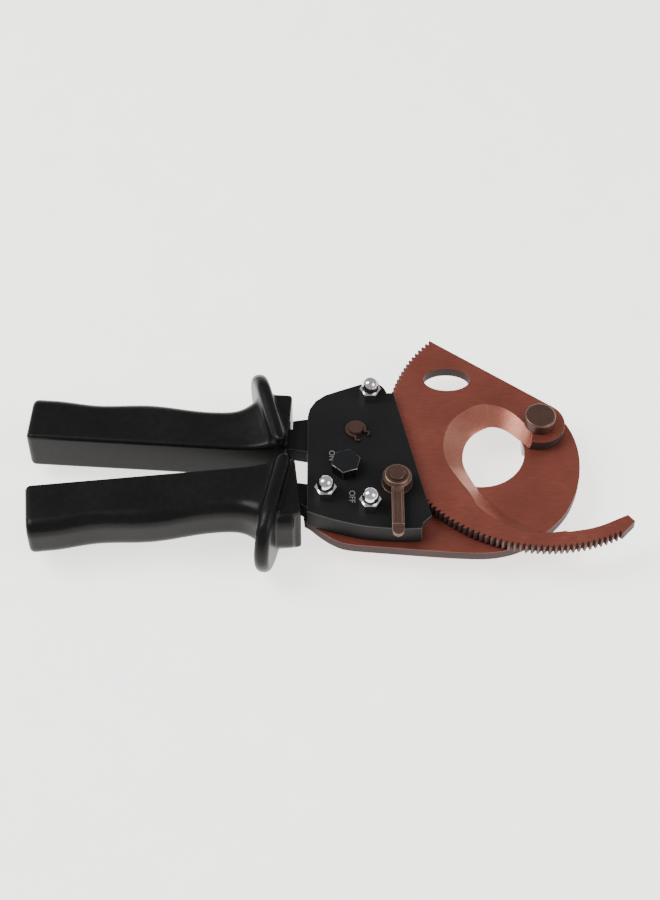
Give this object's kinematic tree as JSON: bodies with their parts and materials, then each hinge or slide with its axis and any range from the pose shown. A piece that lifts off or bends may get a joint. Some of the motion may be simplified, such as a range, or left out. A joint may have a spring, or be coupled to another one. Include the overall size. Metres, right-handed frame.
{
  "type": "ratchet cable cutter",
  "caption": "Hand ratchet cable cutter: toothed sickle blade closing on a hooked fixed blade, boxed ratchet housing, release lever and two guarded grips.",
  "frame": {"origin": "blade pivot axis, in the plane that the tool lies on", "axes": "+X along the tool towards the blades, +Y towards the moving grip, +Z out of the front cover"},
  "size_m": [0.2534, 0.1184, 0.035],
  "materials": {
    "blade_coating": "satin bronze-brown",
    "black_coating": "satin black",
    "grip_plastic": "semi-gloss black",
    "dome_chrome": "bright",
    "dark_steel": "darkened",
    "plain_steel": "plain"
  },
  "bodies": {
    "frame": {"fixed_blade": "blade_coating", "blade_pivot_bolt": "dark_steel", "blade_pivot_washer": "plain_steel", "blade_pivot_nut": "plain_steel", "front_cover": "black_coating", "cover_spacer": "plain_steel", "cover_screws": "plain_steel", "dome_nuts": "dome_chrome", "handle_pivot_bolt": "black_coating", "handle_pivot_nut": "plain_steel", "handle_bush": "plain_steel", "fixed_arm": "black_coating", "fixed_grip": "grip_plastic", "holding_pawl_pin": "dark_steel", "holding_pawl_spring": "plain_steel", "retaining_ring": "dark_steel"},
    "blade": {"moving_blade": "blade_coating"},
    "handle": {"moving_arm": "black_coating", "moving_grip": "grip_plastic", "drive_pawl_pin": "dark_steel", "drive_pawl_spring": "plain_steel"},
    "drive": {"drive_pawl": "plain_steel"},
    "hold": {"holding_pawl": "plain_steel"},
    "release": {"release_shaft": "dark_steel", "release_lever": "dark_steel", "release_washer": "dark_steel", "release_clip": "plain_steel"}
  },
  "joints": [
    {"name": "blade_hinge", "type": "hinge", "parent": "frame", "child": "blade", "pos_m": [0, 0, 0], "axis": [0, 0, 1], "range_deg": [-170, 70]},
    {"name": "handle_hinge", "type": "hinge", "parent": "frame", "child": "handle", "pos_m": [-0.0829, -0.0278, 0], "axis": [0, 0, 1], "range_deg": [-13, 9]},
    {"name": "drive_pawl_hinge", "type": "hinge", "parent": "handle", "child": "drive", "pos_m": [-0.0799, -0.038, 0], "axis": [0, 0, 1], "range_deg": [-9, 13]},
    {"name": "release_hinge", "type": "hinge", "parent": "frame", "child": "release", "pos_m": [-0.0618, -0.0357, 0], "axis": [0, 0, 1], "range_deg": [0, 40]},
    {"name": "holding_pawl_hinge", "type": "hinge", "parent": "frame", "child": "hold", "pos_m": [-0.0786, -0.0077, 0], "axis": [0, 0, 1], "range_deg": [0, 4]}
  ],
  "couplings": [
    {"joint": "drive_pawl_hinge", "follows": "handle_hinge", "ratio": -1},
    {"joint": "holding_pawl_hinge", "follows": "release_hinge", "ratio": 0.1}
  ]
}
